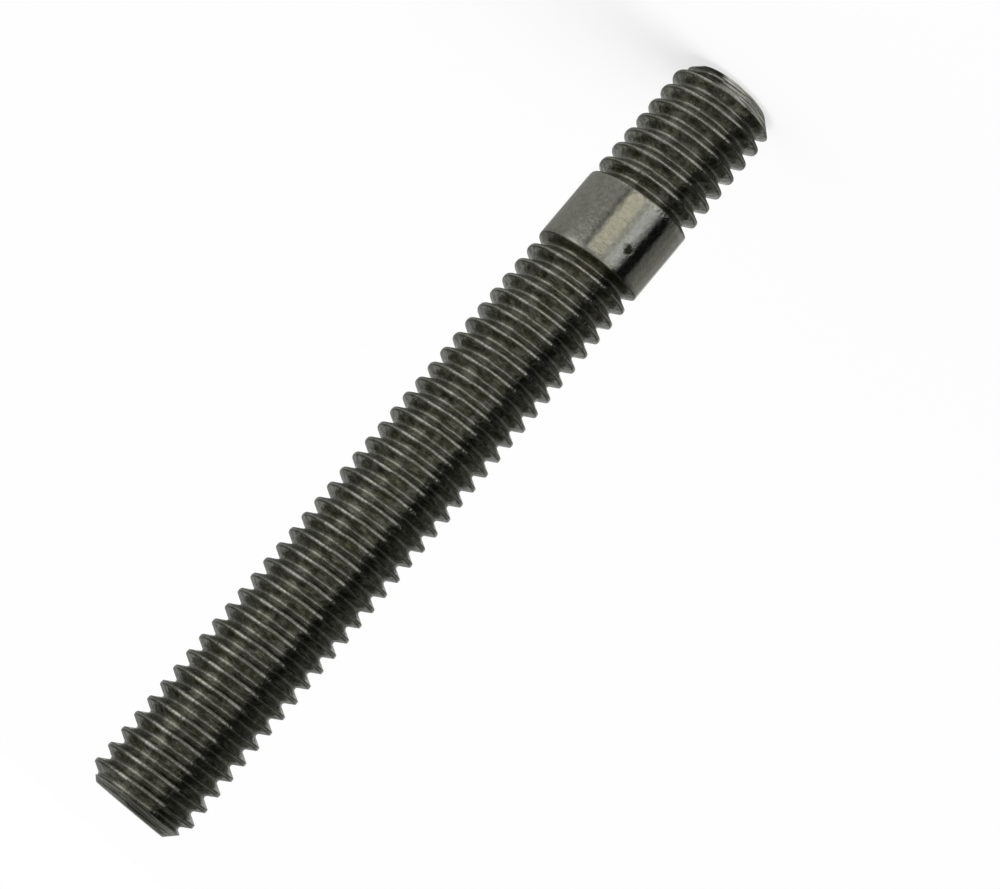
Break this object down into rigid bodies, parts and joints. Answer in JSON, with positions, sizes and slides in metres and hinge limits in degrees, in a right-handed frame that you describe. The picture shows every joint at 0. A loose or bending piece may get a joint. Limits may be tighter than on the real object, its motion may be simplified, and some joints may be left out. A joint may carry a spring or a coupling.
{
  "type": "double ended stud",
  "caption": "Steel stud with a short threaded end for a tapped hole, a plain shank and a long threaded end for a nut, each end chamfered.",
  "frame": {"origin": "centre of the end face of the short threaded end, on which the stud stands", "axes": "+Z along the stud from the short end to the long end; +X through the place where the last crest of each thread meets the shank"},
  "size_m": [0.0094, 0.0094, 0.0761],
  "materials": {
    "bright_steel": "bright, smooth drawn steel with rolled threads, lightly oiled, reflecting its surroundings"
  },
  "bodies": {
    "root": {"stud": "bright_steel"}
  },
  "joints": []
}
